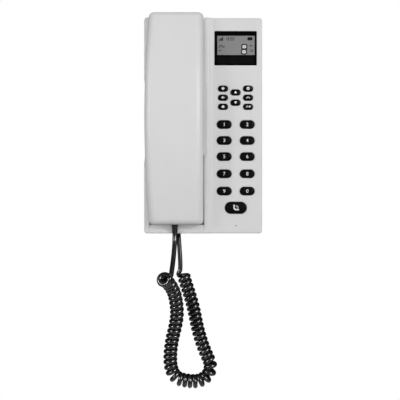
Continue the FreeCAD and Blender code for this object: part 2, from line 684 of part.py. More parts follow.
def screw(x, z, head_y, length):
    """A pan head screw whose head faces +Y."""
    head = rod(x, z, SCREW_HEAD_R, head_y, head_y + 2.0)
    head = head.makeFillet(0.8, edges_at_y(head, head_y + 2.0))
    shank = rod(x, z, SCREW_R, head_y - length, head_y + 0.5)
    cross = [box(x - 1.6, x + 1.6, head_y + 1.0, head_y + 3, z - 0.3, z + 0.3),
             box(x - 0.3, x + 0.3, head_y + 1.0, head_y + 3, z - 1.6, z + 1.6)]
    return fused([head, shank]).cut(cross[0]).cut(cross[1])


def speaker(x, z, radius, y0, y1):
    """A speaker capsule: basket, raised magnet towards -Y and a coned front towards +Y."""
    basket = rod(x, z, radius, y0 + (y1 - y0) * 0.45, y1)
    cone = Part.makeCone(radius * 0.3, radius * 0.85, 1.5, V(x, y1 - 1.49, z), V(0, 1, 0))
    magnet = rod(x, z, radius * 0.55, y0, y1 - 1.8)
    return fused([basket, magnet]).cut(cone)


def charging_socket():
    """Small socket in the base's lower wall, with its blind slot."""
    body = box(SOCKET_X - 4.6, SOCKET_X + 4.6, -11.3, -7.5, -BASE_H / 2 + 0.2, -BASE_H / 2 + 7.5)
    slot = box(SOCKET_X - 4.0, SOCKET_X + 4.0, -10.7, -8.1, -BASE_H / 2 - 1, -BASE_H / 2 + 6.0)
    return body.cut(slot)


def battery_cover():
    """Flat sliding cover with thumb ribs."""
    x0, x1 = BAY_X[0] + 0.3, BAY_X[1] - 0.3
    cover = box(x0, x1, BACK_Y - 1.7, BACK_Y, -BASE_H / 2, BAY_Z[1] - 0.3)
    ribs = [box(x0 + 9, x1 - 9, BACK_Y - 0.1, BACK_Y + 0.7, z, z + 1.2)
            for z in (-78.0, -81.0, -84.0, -87.0)]
    return fused([cover] + ribs)


def battery_pack():
    """Rechargeable pack with rounded edges and a contact strip."""
    pack = box(BAY_X[0] + 1, BAY_X[1] - 1, -13.5, -4.5, BAY_Z[0] + 1.5, BAY_Z[1] - 2)
    return pack.makeFillet(2.5, edges_along(pack, 2))


def build():
    """Every piece of the phone by name."""
    pieces = {
        "wall_bracket": wall_bracket(),
        "base_front_shell": base_front_shell(),
        "base_rear_shell": base_rear_shell(),
        "lcd_window": plate(LCD_X[0], LCD_X[1], LCD_Z[0], LCD_Z[1], 1.0,
                            PANEL_Y, PANEL_Y + LCD_THICK - 0.02),
        "lcd_module": lcd_module(),
        "key_mat": key_mat(),
        "main_board": main_board(),
        "aerial_strip": box(55.5, 56.1, -26.0, -20.0, -60.0, 50.0),
        "battery_pack": battery_pack(),
        "battery_cover": battery_cover(),
        "charging_socket": charging_socket(),
        "ringer_speaker": speaker(SPEAKER_AT[0], SPEAKER_AT[1], 16.0, -13.0, -4.0),
        "base_microphone": rod(MIC_AT[0], MIC_AT[1], 3.0, -27.9, -25.4),
        "hook_plunger": hook_plunger(),
        "hook_spring": hook_spring(),
        "hook_switch": hook_switch(),
        "cord_gland": cord_gland(),
        "case_screws": Part.makeCompound([screw(x, z, -5.8, 10.5) for x, z in CASE_SCREWS]),
        "rubber_feet": Part.makeCompound([rod(x, z, FOOT_R, BACK_Y - FOOT_RECESS, 0) for x, z in FEET]),
        "handset_front_shell": handset_front_shell(),
        "handset_rear_shell": handset_rear_shell(),
        "earpiece_capsule": speaker(HS_X, EAR_Z, 18.0, -24.0, POD_Y - WALL - 0.1),
        "handset_microphone": rod(HS_X, MOUTH_Z, 4.8, -20.0, POD_Y - WALL - 0.1),
        "handset_weight": box(HS_X - 14, HS_X + 14, -33.0, -25.5, -91.0, -60.0),
        "handset_screws": Part.makeCompound([screw(HS_X, z, -34.0, 12.0) for z in HS_SCREWS_Z]),
        "handset_strain_relief": strain_relief(),
        "cord_handset_lead": tube(HANDSET_LEAD, CORD_D, "handset lead"),
        "cord_coil": tube(COIL, COIL_D, "coil"),
        "cord_base_lead": tube(BASE_LEAD, CORD_D, "base lead"),
    }
    for name, at, size in key_places():
        pieces[name] = key_cap(at, size)
    return pieces


os.makedirs("parts", exist_ok=True)
for node, piece in build().items():
    piece.exportStep("parts/" + node + ".step")
    if not piece.isValid():
        print("not valid:", node)
    print(node, len(piece.Solids), "solids", round(piece.Volume), "mm3")
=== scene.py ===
"""The looks of a slimline wall phone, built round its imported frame.

Metres, +Z up. The phone hangs on the wall plane y = 0 and its front faces -Y.
"""

import logging
import math
from dataclasses import dataclass
from enum import Enum
from typing import Callable, Iterable, Sequence

import bmesh
import bpy
import numpy as np
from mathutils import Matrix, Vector


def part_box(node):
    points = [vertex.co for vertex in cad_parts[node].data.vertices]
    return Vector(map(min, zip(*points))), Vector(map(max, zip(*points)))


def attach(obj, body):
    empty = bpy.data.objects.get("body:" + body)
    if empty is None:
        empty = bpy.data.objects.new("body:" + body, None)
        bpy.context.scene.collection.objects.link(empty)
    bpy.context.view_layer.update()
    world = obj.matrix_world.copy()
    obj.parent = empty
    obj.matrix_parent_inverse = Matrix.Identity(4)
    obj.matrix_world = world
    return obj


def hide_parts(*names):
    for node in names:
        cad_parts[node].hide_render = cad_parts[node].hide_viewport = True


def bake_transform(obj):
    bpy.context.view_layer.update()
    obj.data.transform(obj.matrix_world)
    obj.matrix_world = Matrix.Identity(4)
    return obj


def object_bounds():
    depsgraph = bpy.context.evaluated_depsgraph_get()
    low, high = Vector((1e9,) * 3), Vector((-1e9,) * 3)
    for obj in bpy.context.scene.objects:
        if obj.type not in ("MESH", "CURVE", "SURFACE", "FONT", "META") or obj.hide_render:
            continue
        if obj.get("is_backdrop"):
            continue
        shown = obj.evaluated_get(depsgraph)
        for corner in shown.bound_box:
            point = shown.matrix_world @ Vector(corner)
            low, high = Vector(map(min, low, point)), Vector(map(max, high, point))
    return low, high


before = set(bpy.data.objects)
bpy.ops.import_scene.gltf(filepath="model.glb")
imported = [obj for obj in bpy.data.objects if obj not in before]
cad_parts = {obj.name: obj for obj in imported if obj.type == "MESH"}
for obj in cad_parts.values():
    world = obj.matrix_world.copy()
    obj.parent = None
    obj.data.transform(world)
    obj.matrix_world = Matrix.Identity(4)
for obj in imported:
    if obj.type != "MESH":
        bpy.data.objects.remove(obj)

logging.basicConfig(level=logging.INFO, format="%(message)s")
LOG = logging.getLogger("wall_phone")
MM = 0.001
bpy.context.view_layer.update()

Loop = list[tuple[float, float]]
Colour = tuple[float, float, float, float]


# ------------------------------------------------------------------ node trees
class Link:
    """An output socket that takes part in arithmetic by adding Math nodes."""

    def __init__(self, tree: "Tree", socket: bpy.types.NodeSocket) -> None:
        """Wraps one output socket of a tree."""
        self.tree = tree
        self.socket = socket

    def _math(self, operation: str, *others: "Link | float") -> "Link":
        """One Math node on this value and the others."""
        values = dict(enumerate((self, *others)))
        return self.tree.out("ShaderNodeMath", {"operation": operation}, values)

    def __add__(self, other: "Link | float") -> "Link":
        """Sum."""
        return self._math("ADD", other)

    __radd__ = __add__

    def __mul__(self, other: "Link | float") -> "Link":
        """Product."""
        return self._math("MULTIPLY", other)

    __rmul__ = __mul__

    def __sub__(self, other: "Link | float") -> "Link":
        """Difference."""
        return self._math("SUBTRACT", other)

    def __rsub__(self, other: float) -> "Link":
        """Difference from a number."""
        return (self * -1.0) + other

    def __gt__(self, other: "Link | float") -> "Link":
        """1 where this is greater, otherwise 0."""
        return self._math("GREATER_THAN", other)

    def __lt__(self, other: "Link | float") -> "Link":
        """1 where this is less, otherwise 0."""
        return self._math("LESS_THAN", other)

    def __mod__(self, other: float) -> "Link":
        """Remainder, never negative."""
        return self._math("FLOORED_MODULO", other)

    def apply(self, operation: str, *others: "Link | float") -> "Link":
        """Any other Math operation by its name."""
        return self._math(operation, *others)


class Tree:
    """A node tree that is written one node at a time."""

    def __init__(self, tree: bpy.types.NodeTree) -> None:
        """Starts with an empty tree."""
        self.tree = tree
        tree.nodes.clear()

    def node(self, kind: str, settings: dict | None = None, inputs: dict | None = None) -> bpy.types.Node:
        """Adds a node.

        Args:
            kind: the node's type.
            settings: its own properties, set first.
            inputs: values or links of its sockets, by name or index.

        Returns:
            The new node.
        """
        made = self.tree.nodes.new(kind)
        for key, value in (settings or {}).items():
            setattr(made, key, value)
        for key, value in (inputs or {}).items():
            if isinstance(value, Link):
                self.tree.links.new(value.socket, made.inputs[key])
            else:
                made.inputs[key].default_value = value
        return made

    def out(self, kind: str, settings: dict | None = None, inputs: dict | None = None,
            output: int | str = 0) -> Link:
        """Adds a node and returns one of its outputs."""
        return Link(self, self.node(kind, settings, inputs).outputs[output])


class ShaderTree(Tree):
    """A material's tree, with the patterns that the finishes share."""

    def __init__(self, name: str) -> None:
        """Makes the material."""
        self.material = bpy.data.materials.new(name)
        self.material.use_nodes = True
        super().__init__(self.material.node_tree)
        self.place = self.out("ShaderNodeTexCoord", output="Object")

    def noise(self, size: float, detail: float = 2.0, stretch: Vector | None = None) -> Link:
        """Fractal noise from 0 to 1 whose features are about size across, in metres."""
        place = self.place
        if stretch is not None:
            place = self.out("ShaderNodeMapping", None, {"Vector": place, "Scale": stretch})
        return self.out("ShaderNodeTexNoise", None, {"Vector": place, "Scale": 1 / size, "Detail": detail})

    def axes(self) -> tuple[Link, Link, Link]:
        """The place's x, y and z."""
        node = self.node("ShaderNodeSeparateXYZ", None, {0: self.place})
        return Link(self, node.outputs[0]), Link(self, node.outputs[1]), Link(self, node.outputs[2])

    def between(self, factor: Link, first: Colour | Link, second: Colour | Link) -> Link:
        """A colour that goes from the first to the second as the factor goes from 0 to 1."""
        return self.out("ShaderNodeMix", {"data_type": "RGBA"}, {0: factor, 6: first, 7: second}, 2)

    def bump(self, height: Link, depth: float) -> Link:
        """A normal raised by the height, depth in metres."""
        return self.out("ShaderNodeBump", None, {"Height": height, "Distance": depth})

    def finish(self, **values: "Link | float | Colour") -> bpy.types.Material:
        """Ends the tree in a Principled shader with these inputs, underscores for spaces.

        Returns:
            The finished material.
        """
        inputs = {key.replace("_", " "): value for key, value in values.items()}
        shader = self.out("ShaderNodeBsdfPrincipled", None, inputs)
        self.node("ShaderNodeOutputMaterial", None, {0: shader})
        return self.material


def grey(level: float, warmth: float = 0.0) -> Colour:
    """A near-neutral colour from its display level, 0 to 1, slightly warm or cool."""
    def linear(value: float) -> float:
        """Display value to scene value."""
        return value / 12.92 if value <= 0.04045 else ((value + 0.055) / 1.055) ** 2.4

    return linear(level * (1 + warmth)), linear(level), linear(level * (1 - warmth)), 1.0


# -------------------------------------------------------------------- finishes
@dataclass(frozen=True)
class MouldedPlastic:
    """Spark-textured satin plastic, as on the case and the handset."""

    name: str
    level: float = 0.86
    warmth: float = 0.0
    roughness: float = 0.48
    grain: float = 0.35 * MM
    grain_depth: float = 0.006 * MM
    cloud: float = 28 * MM
    cloud_share: float = 0.012
    specular: float = 0.35

    def build(self) -> bpy.types.Material:
        """Makes the material."""
        tree = ShaderTree(self.name)
        cloud = tree.noise(self.cloud, 3.0)
        grain = tree.noise(self.grain, 2.0)
        light = grey(self.level * (1 + self.cloud_share), self.warmth)
        dark = grey(self.level * (1 - self.cloud_share), self.warmth)
        return tree.finish(
            Base_Color=tree.between(cloud, dark, light),
            Roughness=cloud * 0.06 + grain * 0.08 + (self.roughness - 0.07),
            Specular_IOR_Level=self.specular,
            Normal=tree.bump(grain, self.grain_depth),
        )


@dataclass(frozen=True)
class SoftBlack:
    """Black plastic or rubber with a fine speckle and uneven gloss."""

    name: str
    level: float = 0.07
    speckle: float = 0.12
    roughness: float = 0.38
    grain: float = 0.25 * MM
    grain_depth: float = 0.004 * MM
    fleck_above: float = 0.62
    smear: float = 6 * MM
    specular: float = 0.3

    def build(self) -> bpy.types.Material:
        """Makes the material."""
        tree = ShaderTree(self.name)
        grain = tree.noise(self.grain, 1.0)
        flecks = (grain > self.fleck_above) * 0.5
        smear = tree.noise(self.smear, 3.0)
        return tree.finish(
            Base_Color=tree.between(flecks, grey(self.level), grey(self.speckle)),
            Roughness=smear * 0.16 + (self.roughness - 0.08),
            Specular_IOR_Level=self.specular,
            Normal=tree.bump(grain, self.grain_depth),
        )


@dataclass(frozen=True)
class Sheath:
    """Smooth extruded black cord sheath, faintly rippled along its length."""

    name: str
    level: float = 0.02
    roughness: float = 0.32
    ripple: float = 1.6 * MM
    ripple_depth: float = 0.008 * MM
    bloom: float = 9 * MM
    coat: float = 0.7
    coat_roughness: float = 0.26

    def build(self) -> bpy.types.Material:
        """Makes the material."""
        tree = ShaderTree(self.name)
        ripple = tree.noise(self.ripple, 2.0)
        bloom = tree.noise(self.bloom, 3.0)
        return tree.finish(
            Base_Color=tree.between(bloom, grey(self.level), grey(self.level * 1.5)),
            Roughness=bloom * 0.1 + (self.roughness - 0.05),
            Specular_IOR_Level=1.0,
            Coat_Weight=self.coat,
            Coat_Roughness=self.coat_roughness,
            Normal=tree.bump(ripple, self.ripple_depth),
        )


@dataclass(frozen=True)
class PrintedMark:
    """White pad-printed ink, thinner in places."""

    name: str
    level: float = 0.92
    thin: float = 0.8
    roughness: float = 0.5
    wear: float = 0.5 * MM

    def build(self) -> bpy.types.Material:
        """Makes the material."""
        tree = ShaderTree(self.name)
        wear = tree.noise(self.wear, 2.0)
        return tree.finish(
            Base_Color=tree.between(wear, grey(self.thin), grey(self.level)),
            Roughness=wear * 0.1 + self.roughness,
            Specular_IOR_Level=0.2,
            Normal=tree.bump(wear, 0.003 * MM),
        )


@dataclass(frozen=True)
class GlossWindow:
    """Polished acrylic backed with black print, with faint wiping marks."""

    name: str
    level: float = 0.025
    roughness: float = 0.07
    haze: float = 0.02
    wipe: float = 5 * MM
    specular: float = 0.1

    def build(self) -> bpy.types.Material:
        """Makes the material."""
        tree = ShaderTree(self.name)
        wipes = tree.noise(self.wipe, 4.0, Vector((1.0, 1.0, 0.25)))
        return tree.finish(
            Base_Color=tree.between(wipes, grey(self.level), grey(self.level + self.haze)),
            Roughness=wipes * 0.08 + self.roughness,
            Specular_IOR_Level=self.specular,
            Normal=tree.bump(wipes, 0.002 * MM),
        )


@dataclass(frozen=True)
class DisplayFace:
    """Grey reflective display with its dot grid."""

    name: str
    level: float = 0.56
    dot: float = 0.3 * MM
    line: float = 0.12
    line_level: float = 0.94
    cloud: float = 14 * MM

    def build(self) -> bpy.types.Material:
        """Makes the material."""
        tree = ShaderTree(self.name)
        x, _, z = tree.axes()
        across = (x * (1 / self.dot)) % 1.0 < self.line
        down = (z * (1 / self.dot)) % 1.0 < self.line
        grid = across.apply("MAXIMUM", down)
        cloud = tree.noise(self.cloud, 2.0)
        base = tree.between(cloud, grey(self.level * 0.97), grey(self.level * 1.03))
        return tree.finish(
            Base_Color=tree.between(grid, base, grey(self.level * self.line_level)),
            Roughness=grid * 0.1 + 0.32,
            Specular_IOR_Level=0.2,
            Normal=tree.bump(grid, 0.004 * MM),
        )


@dataclass(frozen=True)
class PressedMetal:
    """Plated or bright sheet metal with drawn lines and a few dull patches."""

    name: str
    colour: Colour = (0.62, 0.63, 0.64, 1.0)
    roughness: float = 0.32
    line: float = 0.4 * MM
    patch: float = 11 * MM
    dullness: float = 0.72

    def build(self) -> bpy.types.Material:
        """Makes the material."""
        tree = ShaderTree(self.name)
        lines = tree.noise(self.line, 3.0, Vector((1.0, 1.0, 0.04)))
        patches = tree.noise(self.patch, 4.0)
        dull = tuple(self.dullness * part for part in self.colour[:3]) + (1.0,)
        return tree.finish(
            Base_Color=tree.between(patches, dull, self.colour),
            Metallic=1.0,
            Roughness=lines * 0.14 + patches * 0.1 + (self.roughness - 0.1),
            Normal=tree.bump(lines, 0.006 * MM),
        )


@dataclass(frozen=True)
class CircuitBoard:
    """Green solder mask with copper tracks under it and tinned pads."""

    name: str
    mask: Colour = (0.01, 0.09, 0.035, 1.0)
    track: Colour = (0.02, 0.16, 0.06, 1.0)
    pad: Colour = (0.55, 0.55, 0.5, 1.0)
    pitch: float = 2.5 * MM
    track_share: float = 0.35
    pad_half: float = 0.16
    pads_above: float = 0.52

    def build(self) -> bpy.types.Material:
        """Makes the material."""
        tree = ShaderTree(self.name)
        x, _, z = tree.axes()
        column = (x * (1 / self.pitch)) % 1.0
        row = (z * (1 / self.pitch)) % 1.0
        wander = tree.noise(3 * self.pitch, 0.0)
        tracks = ((row + wander) % 1.0) < self.track_share
        near_x = (column - 0.5).apply("ABSOLUTE") < self.pad_half
        near_z = (row - 0.5).apply("ABSOLUTE") < self.pad_half
        pads = near_x * near_z * (wander > self.pads_above)
        painted = tree.between(tracks, self.mask, self.track)
        return tree.finish(
            Base_Color=tree.between(pads, painted, self.pad),
            Metallic=pads,
            Roughness=tracks * 0.1 + 0.35,
            Normal=tree.bump(tracks, 0.03 * MM),
        )


@dataclass(frozen=True)
class ShrinkWrap:
    """Coloured shrink film with a lengthwise overlap."""

    name: str
    colour: Colour = (0.03, 0.14, 0.32, 1.0)
    seam: Colour = (0.015, 0.07, 0.18, 1.0)
    seam_x: float = 29 * MM
    seam_half: float = 1.2 * MM
    crease: float = 4 * MM

    def build(self) -> bpy.types.Material:
        """Makes the material."""
        tree = ShaderTree(self.name)
        x, _, _ = tree.axes()
        overlap = (x - self.seam_x).apply("ABSOLUTE") < self.seam_half
        creases = tree.noise(self.crease, 4.0, Vector((1.0, 1.0, 0.3)))
        return tree.finish(
            Base_Color=tree.between(overlap, self.colour, self.seam),
            Roughness=creases * 0.2 + 0.2,
            Normal=tree.bump(creases + overlap, 0.06 * MM),
        )


PLASTIC = MouldedPlastic("case plastic", level=0.885).build()
HANDSET_PLASTIC = MouldedPlastic("handset plastic", level=0.9, roughness=0.44).build()
KEY_BLACK = SoftBlack("key black", level=0.03, speckle=0.07, specular=0.14).build()
RUBBER = SoftBlack("black rubber", level=0.09, roughness=0.62, grain_depth=0.01 * MM).build()
SWITCH_BLACK = SoftBlack("switch black", level=0.1, roughness=0.45).build()
SHEATH = Sheath("cord sheath").build()
INK = PrintedMark("white ink", level=0.99, thin=0.93).build()
WINDOW = GlossWindow("window black").build()
WINDOW_BAND = GlossWindow("window band", level=0.06, roughness=0.16, specular=0.1).build()
DISPLAY = DisplayFace("display face").build()
SEGMENT = SoftBlack("display segment", level=0.03, speckle=0.05, roughness=0.4).build()
GHOST = SoftBlack("display ghost segment", level=0.36, speckle=0.4, roughness=0.4).build()
CORE = MouldedPlastic("display light core", level=0.88, grain_depth=0.0005 * MM).build()
STEEL = PressedMetal("zinc plated steel").build()
SPRING_STEEL = PressedMetal("spring steel", colour=(0.5, 0.5, 0.52, 1.0), roughness=0.26).build()
WEIGHT_STEEL = PressedMetal("raw steel", colour=(0.35, 0.35, 0.36, 1.0), roughness=0.45).build()
BRASS = PressedMetal("brass", colour=(0.72, 0.5, 0.2, 1.0), roughness=0.3).build()
BOARD = CircuitBoard("circuit board").build()
SILICONE = MouldedPlastic("silicone", level=0.72, warmth=0.01, roughness=0.62).build()
BATTERY = ShrinkWrap("battery wrap").build()

NODE_FINISHES: tuple[tuple[bpy.types.Material, str], ...] = (
    (PLASTIC, "base_front_shell base_rear_shell battery_cover hook_plunger"),
    (HANDSET_PLASTIC, "handset_front_shell handset_rear_shell"),
    (WINDOW, "lcd_window"),
    (SILICONE, "key_mat"),
    (BOARD, "main_board"),
    (BRASS, "aerial_strip"),
    (BATTERY, "battery_pack"),
    (SPRING_STEEL, "hook_spring"),
    (WEIGHT_STEEL, "lcd_module handset_weight"),
    (STEEL, "wall_bracket charging_socket case_screws handset_microphone handset_screws"),
    (SWITCH_BLACK, "ringer_speaker base_microphone hook_switch earpiece_capsule"),
    (RUBBER, "cord_gland rubber_feet handset_strain_relief"),
)


# ----------------------------------------------------------------- mesh helpers
def add_object(name: str, data: bpy.types.ID) -> bpy.types.Object:
    """Links a new object with this data to the scene."""
    made = bpy.data.objects.new(name, data)
    bpy.context.scene.collection.objects.link(made)
    return made


def as_mesh(source: bpy.types.Object, name: str) -> bpy.types.Mesh:
    """The mesh that an object with its modifiers or curve settings evaluates to; the object is removed."""
    bpy.context.view_layer.update()
    graph = bpy.context.evaluated_depsgraph_get()
    mesh = bpy.data.meshes.new_from_object(source.evaluated_get(graph))
    mesh.name = name
    bpy.data.objects.remove(source)
    return mesh


def surface(name: str, vertices: Iterable, faces: Iterable, finish: bpy.types.Material,
            smooth: bool = True) -> bpy.types.Object:
    """A mesh piece with one material."""
    mesh = bpy.data.meshes.new(name)
    mesh.from_pydata([tuple(v) for v in vertices], [], [tuple(f) for f in faces])
    mesh.materials.append(finish)
    mesh.polygons.foreach_set("use_smooth", [smooth] * len(mesh.polygons))
    mesh.update()
    return add_object(name, mesh)


def circle(radius: float, x: float = 0.0, z: float = 0.0, count: int = 28) -> Loop:
    """A round loop."""
    steps = [2 * math.pi * k / count for k in range(count)]
    return [(x + radius * math.cos(a), z + radius * math.sin(a)) for a in steps]


def rounded(width: float, height: float, radius: float, x: float = 0.0, z: float = 0.0,
            count: int = 5) -> Loop:
    """A rectangle with rounded corners."""
    loop = []
    for quarter, (sx, sz) in enumerate(((1, 1), (-1, 1), (-1, -1), (1, -1))):
        cx = x + sx * (width / 2 - radius)
        cz = z + sz * (height / 2 - radius)
        for k in range(count + 1):
            angle = math.pi / 2 * (quarter + k / count)
            loop.append((cx + radius * math.cos(angle), cz + radius * math.sin(angle)))
    return loop


def band(radius: float, width: float, start: float, end: float, x: float = 0.0, z: float = 0.0,
         count: int = 14) -> Loop:
    """A stretch of a ring between two angles in degrees."""
    angles = [math.radians(start + (end - start) * k / count) for k in range(count + 1)]
    outer, inner = ([(x + r * math.cos(a), z + r * math.sin(a)) for a in angles]
                    for r in (radius + width / 2, radius - width / 2))
    return outer + inner[::-1]


def turned(loop: Loop, degrees: float) -> Loop:
    """A loop turned about its origin."""
    c, s = math.cos(math.radians(degrees)), math.sin(math.radians(degrees))
    return [(c * x - s * z, s * x + c * z) for x, z in loop]


def moved(loop: Loop, dx: float, dz: float) -> Loop:
    """A loop shifted."""
    return [(x + dx, z + dz) for x, z in loop]


def flat_face(y: float) -> Callable[[float, float], float]:
    """The face function of a flat surface at this y."""
    return lambda x, z: y


@dataclass
class Relief:
    """A thin closed shape that lies on a face looking towards -Y.

    Loops are in millimetres about its centre; a loop inside another is a hole.
    """

    name: str
    finish: bpy.types.Material
    at: tuple[float, float]
    face: Callable[[float, float], float]
    thickness: float = 0.16 * MM
    proud: float = 0.05 * MM
    bevel: float = 0.0
    text_extrude: float = 0.1

    def from_loops(self, loops: Sequence[Loop]) -> bpy.types.Object:
        """Fills the loops."""
        curve = bpy.data.curves.new(self.name, "CURVE")
        curve.dimensions = "2D"
        curve.fill_mode = "BOTH"
        for loop in loops:
            spline = curve.splines.new("POLY")
            spline.points.add(len(loop) - 1)
            flat = [part for x, z in loop for part in (x * MM, z * MM, 0.0, 1.0)]
            spline.points.foreach_set("co", flat)
            spline.use_cyclic_u = True
        return self._laid(curve, None)

    def from_text(self, text: str, height: float) -> bpy.types.Object:
        """Writes a numeral of this height, in metres."""
        curve = bpy.data.curves.new(self.name, "FONT")
        curve.body = text
        curve.offset = 0.004
        return self._laid(curve, height)

    def _laid(self, curve: bpy.types.Curve, height: float | None) -> bpy.types.Object:
        """Turns the flat curve into a mesh, then lays it on the face."""
        if height is None:
            curve.extrude = self.thickness / 2 - self.bevel
            curve.bevel_depth = self.bevel
            curve.offset = -self.bevel
            curve.bevel_resolution = 2
        else:
            curve.extrude = self.text_extrude
        mesh = as_mesh(add_object(self.name + "_outline", curve), self.name)
        points = np.array([v.co for v in mesh.vertices], float)
        if height is not None:
            low, high = points[:, :2].min(0), points[:, :2].max(0)
            points[:, :2] = (points[:, :2] - (low + high) / 2) * height / (high[1] - low[1])
            points[:, 2] *= self.thickness / 2 / self.text_extrude
        x = self.at[0] + points[:, 0]
        z = self.at[1] + points[:, 1]
        faces = np.array([self.face(a, b) for a, b in zip(x, z)])
        y = faces - self.proud + self.thickness / 2 - points[:, 2]
        mesh.vertices.foreach_set("co", np.stack([x, y, z], 1).astype(np.float32).ravel())
        mesh.materials.clear()
        mesh.materials.append(self.finish)
        close_mesh(mesh)
        return add_object(self.name, mesh)


def close_mesh(mesh: bpy.types.Mesh, distance: float = 0.0005 * MM) -> None:
    """Welds a closed mesh's seams and turns its faces outwards."""
    work = bmesh.new()
    work.from_mesh(mesh)
    bmesh.ops.remove_doubles(work, verts=work.verts, dist=distance)
    bmesh.ops.recalc_face_normals(work, faces=work.faces)
    work.to_mesh(mesh)
    work.free()


# ------------------------------------------------------------------------ cord
@dataclass
class CurlyCord:
    """The curly cord between the handset and the base, one tube from end to end.

    The routes are those of the frame's cord pieces: a lead, the coil's axis and a lead. The axis ends a
    few millimetres nearer to the last lead's side.
    """

    diameter: float = 4.7 * MM
    coil_radius: float = 4.7 * MM
    first_radius: float = 5.35 * MM
    settle: float = 9.0 * MM
    pitch: float = 5.15 * MM
    unwind: float = 3.5 * MM
    axis_step: float = 0.1 * MM
    lead_step: float = 0.8 * MM
    lead_gap: float = 3.0 * MM
    last_lead_gap: float = 8.0 * MM
    packing: float = 0.93
    turn_points: int = 26
    sides: int = 14
    tuck: float = 3.0 * MM
    still: tuple = (0, -12.4 * MM, -107.8 * MM)
    carried: tuple = (0, -27.8 * MM, -100.5 * MM)
    start_angle: float = math.radians(4)
    handset_lead: tuple = (
        (-28.2, -36.0, -107.9), (-28.2, -36.0, -114.0), (-28.5, -41.3, -122.5), (-29.1, -46.5, -131.0),
        (-30.0, -52.5, -140.0), (-31.0, -57.6, -147.6),
    )
    coil: tuple = (
        (-37.6, -60.0, -149.6), (-36.4, -52.0, -151.6), (-32.8, -45.0, -156.8), (-28.6, -40.0, -165.0),
        (-26.6, -36.5, -176.0), (-25.8, -34.6, -187.5), (-27.6, -33.2, -199.5), (-31.0, -32.3, -212.5),
        (-33.0, -31.4, -227.0), (-32.8, -30.2, -241.5), (-27.8, -28.4, -252.8), (-15.0, -26.0, -256.8),
        (-2.8, -23.0, -257.6), (6.2, -20.6, -251.0), (7.9, -18.6, -241.5), (3.2, -17.0, -232.0),
        (-2.0, -15.8, -219.0), (-6.3, -14.8, -203.5), (-9.2, -14.0, -188.0), (-13.6, -13.2, -172.0),
        (-17.8, -12.8, -160.0), (-20.8, -12.5, -149.6),
    )
    base_lead: tuple = (
        (-24.2, -12.4, -154.0), (-23.3, -12.0, -144.0), (-23.8, -11.4, -133.0), (-24.6, -10.6, -121.0),
        (-25.5, -10.0, -109.2),
    )

    @staticmethod
    def spline(route: Sequence[tuple]) -> np.ndarray:
        """Points read from the smooth spline that has the route as its control points."""
        curve = bpy.data.curves.new("route", "CURVE")
        curve.dimensions = "3D"
        curve.resolution_u = 40
        line = curve.splines.new("NURBS")
        line.points.add(len(route) - 1)
        for point, place in zip(line.points, route):
            point.co = (*(part * MM for part in place), 1.0)
        line.order_u = 3
        line.use_endpoint_u = True
        mesh = as_mesh(add_object("route", curve), "route")
        return np.array([v.co for v in mesh.vertices], float)

    @staticmethod
    def spaced(points: np.ndarray, step: float) -> np.ndarray:
        """The same line with its points a step apart."""
        along = np.concatenate([[0], np.cumsum(np.linalg.norm(np.diff(points, axis=0), axis=1))])
        count = max(int(round(along[-1] / step)), 2)
        wanted = np.linspace(0, along[-1], count + 1)
        return np.stack([np.interp(wanted, along, points[:, k]) for k in range(3)], 1)

    @staticmethod
    def bridge(before: np.ndarray, after: np.ndarray, step: float) -> np.ndarray:
        """A smooth line from the end of one stretch to the start of the next."""
        start, end = before[-1], after[0]
        reach = np.linalg.norm(end - start)
        leave = (before[-1] - before[-2]) / np.linalg.norm(before[-1] - before[-2]) * reach
        arrive = (after[1] - after[0]) / np.linalg.norm(after[1] - after[0]) * reach
        t = np.linspace(0, 1, max(int(reach / step), 4) + 1)[1:-1, None]
        return ((2 * t ** 3 - 3 * t ** 2 + 1) * start + (t ** 3 - 2 * t ** 2 + t) * leave
                + (3 * t ** 2 - 2 * t ** 3) * end + (t ** 3 - t ** 2) * arrive)

    def helix(self) -> np.ndarray:
        """The coiled stretch: turns about the coil's axis that open where it bends."""
        step = self.axis_step
        axis = self.spaced(self.spline(self.coil), step)
        tangents = np.gradient(axis, axis=0)
        tangents /= np.linalg.norm(tangents, axis=1)[:, None]
        bend = np.linalg.norm(np.gradient(tangents, axis=0), axis=1) / step
        window = int(self.pitch / step)
        padded = np.pad(bend, window, mode="edge")
        bend = np.convolve(padded, np.ones(window) / window, "same")[window:-window]
        pitch = np.maximum(self.pitch, self.packing * self.diameter / (1 - self.coil_radius * bend))
        along = step * np.arange(len(axis))
        slack = self.eased((along[-1] - along) / self.unwind)
        angle = np.concatenate([[0], np.cumsum(2 * math.pi * step / pitch[:-1] * slack[:-1])])
        right = Vector((1, 0, 0))
        first = Vector(tangents[0])
        right = np.array((right - first * right.dot(first)).normalized())
        rights = [right]
        for tangent in tangents[1:]:
            right = right - tangent * (right @ tangent)
            right = right / np.linalg.norm(right)
            rights.append(right)
        rights = np.array(rights)
        ups = np.cross(tangents, rights)
        target = np.array(self.base_lead[0]) * MM - axis[-1]
        aim = math.atan2(float(target @ ups[-1]), float(target @ rights[-1])) - self.start_angle
        turns = round((angle[-1] - aim) / (2 * math.pi))
        angle = self.start_angle + angle * (aim + 2 * math.pi * turns) / angle[-1]
        flare = (self.first_radius - self.coil_radius) * (1 - self.eased(along / self.settle))
        radius = self.coil_radius + flare
        line = axis + radius[:, None] * (np.cos(angle)[:, None] * rights + np.sin(angle)[:, None] * ups)
        return self.spaced(line, 2 * math.pi * self.coil_radius / self.turn_points)

    @staticmethod
    def eased(share: np.ndarray) -> np.ndarray:
        """Goes smoothly from 0 to 1 while the share does."""
        clamped = np.clip(share, 0.0, 1.0)
        return clamped * clamped * (3 - 2 * clamped)

